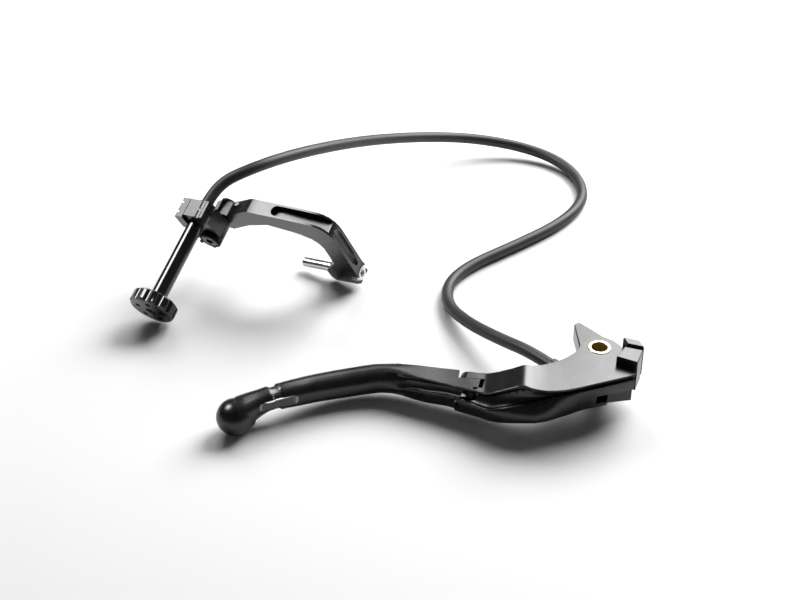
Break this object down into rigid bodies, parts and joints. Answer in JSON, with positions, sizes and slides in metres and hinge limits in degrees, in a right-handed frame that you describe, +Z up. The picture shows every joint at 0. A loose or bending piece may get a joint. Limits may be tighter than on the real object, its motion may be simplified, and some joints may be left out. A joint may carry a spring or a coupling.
{
  "type": "motorcycle hand lever with remote reach adjuster",
  "caption": "Folding motorcycle hand lever with a ball tip, piston horn and pivot bush, joined by a flexible drive cable to a knob, tube, clamp and bracket.",
  "frame": {"origin": "centre of the lever's pivot bore, at mid height", "axes": "+X from the ball end towards the pivot, +Y towards the handlebar grip, +Z up along the pivot axis"},
  "size_m": [0.2798, 0.2855, 0.0616],
  "materials": {
    "anodised_black": "satin black anodised",
    "knob_black": "gloss black anodised",
    "tube_black": "gloss black anodised",
    "ferrule_black": "satin black anodised",
    "sheath_rubber": "matte",
    "bush_brass": "satin",
    "pin_steel": "turned",
    "spring_steel": "drawn wire",
    "screw_steel": "plated",
    "screw_black": "black oxide"
  },
  "bodies": {
    "lever_and_remote": {"lever_base": "anodised_black", "pivot_bush": "bush_brass", "switch_tab": "anodised_black", "switch_tab_screw": "screw_black", "cable_ferrule_lever": "ferrule_black", "cable_sheath": "sheath_rubber", "fold_pin": "pin_steel", "fold_plunger": "pin_steel", "fold_spring": "spring_steel", "cable_ferrule_remote": "ferrule_black", "remote_tube": "tube_black", "tube_bush_inner": "bush_brass", "tube_bush_outer": "bush_brass", "clamp_body": "anodised_black", "clamp_cap": "anodised_black", "clamp_screws": "screw_steel", "bracket_pivot_screw": "screw_black", "friction_washer": "spring_steel"},
    "blade": {"blade": "anodised_black"},
    "actuator": {"actuator": "anodised_black", "actuator_pad": "pin_steel"},
    "spindle": {"adjuster_spindle": "pin_steel", "flex_tip_lever": "pin_steel"},
    "plunger": {"adjuster_plunger": "pin_steel"},
    "knob": {"knob": "knob_black", "knob_screw": "screw_steel", "drive_shaft": "pin_steel", "flex_tip_remote": "pin_steel"},
    "bracket": {"bracket_arm": "anodised_black", "bracket_set_screw": "screw_black", "mount_pin": "pin_steel", "mount_screw": "pin_steel"}
  },
  "joints": [
    {"name": "blade_fold", "type": "hinge", "parent": "lever_and_remote", "child": "blade", "pos_m": [-0.0681, -0.0044, -0.0035], "axis": [0.399, 0.917, 0], "range_deg": [0, 78], "stiffness_Nm_per_rad": 0.25, "springref_deg": -34.38},
    {"name": "knob_turn", "type": "hinge", "parent": "lever_and_remote", "child": "knob", "pos_m": [-0.2146, 0.0981, -0.0044], "axis": [0.5199, 0.6969, 0.4939], "range_deg": [0, 1440]},
    {"name": "spindle_turn", "type": "hinge", "parent": "lever_and_remote", "child": "spindle", "pos_m": [-0.0245, -0.001, 0.002], "axis": [0.4718, -0.8817, 0], "range_deg": [0, 1440]},
    {"name": "plunger_slide", "type": "slide", "parent": "lever_and_remote", "child": "plunger", "axis": [0.4718, -0.8817, 0], "range_m": [0, 0.0032]},
    {"name": "actuator_swing", "type": "hinge", "parent": "lever_and_remote", "child": "actuator", "pos_m": [0, 0, 0.002], "axis": [0, 0, 1], "range_deg": [0, 8.3]},
    {"name": "bracket_swivel", "type": "hinge", "parent": "lever_and_remote", "child": "bracket", "pos_m": [-0.17133, 0.14733, 0.01906], "axis": [-0.5199, -0.6969, -0.4939], "range_deg": [-12, 20]}
  ],
  "couplings": [
    {"joint": "spindle_turn", "follows": "knob_turn", "ratio": 1},
    {"joint": "plunger_slide", "follows": "knob_turn", "m_per_rad": 0.0001273},
    {"joint": "actuator_swing", "follows": "knob_turn", "ratio": 0.00572}
  ]
}
